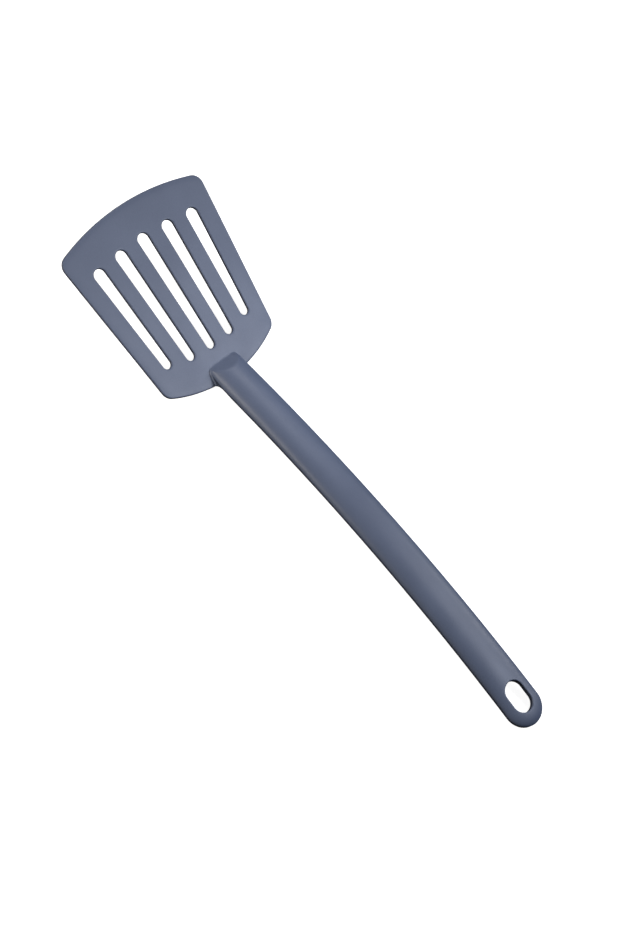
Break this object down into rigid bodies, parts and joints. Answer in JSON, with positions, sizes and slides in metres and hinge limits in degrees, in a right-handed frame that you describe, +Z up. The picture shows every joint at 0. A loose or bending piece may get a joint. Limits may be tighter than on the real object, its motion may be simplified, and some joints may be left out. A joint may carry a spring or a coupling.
{
  "type": "slotted grill spatula",
  "caption": "One-hand slotted turner: thin fan blade with tapered drain slots, long arched handle on a sloped boss, oblong hanging eye.",
  "frame": {"origin": "middle of the footprint, on the surface that the spatula lies on, top face up", "axes": "+X along the spatula from the blade's front edge to the hanging eye, +Y across it, +Z up; it lies on the rear rim of the blade and the tail of the handle, which have small flats there, with the blade's front raised"},
  "size_m": [0.3292, 0.0954, 0.0321],
  "materials": {
    "moulding": "matt, fine moulded grain",
    "core": "glass-filled nylon, matt",
    "steel": "brushed"
  },
  "bodies": {
    "root": {"blade_skin": "moulding", "handle_skin": "moulding", "blade_plate": "steel", "handle_core": "core", "tang_rivets": "steel"}
  },
  "joints": []
}
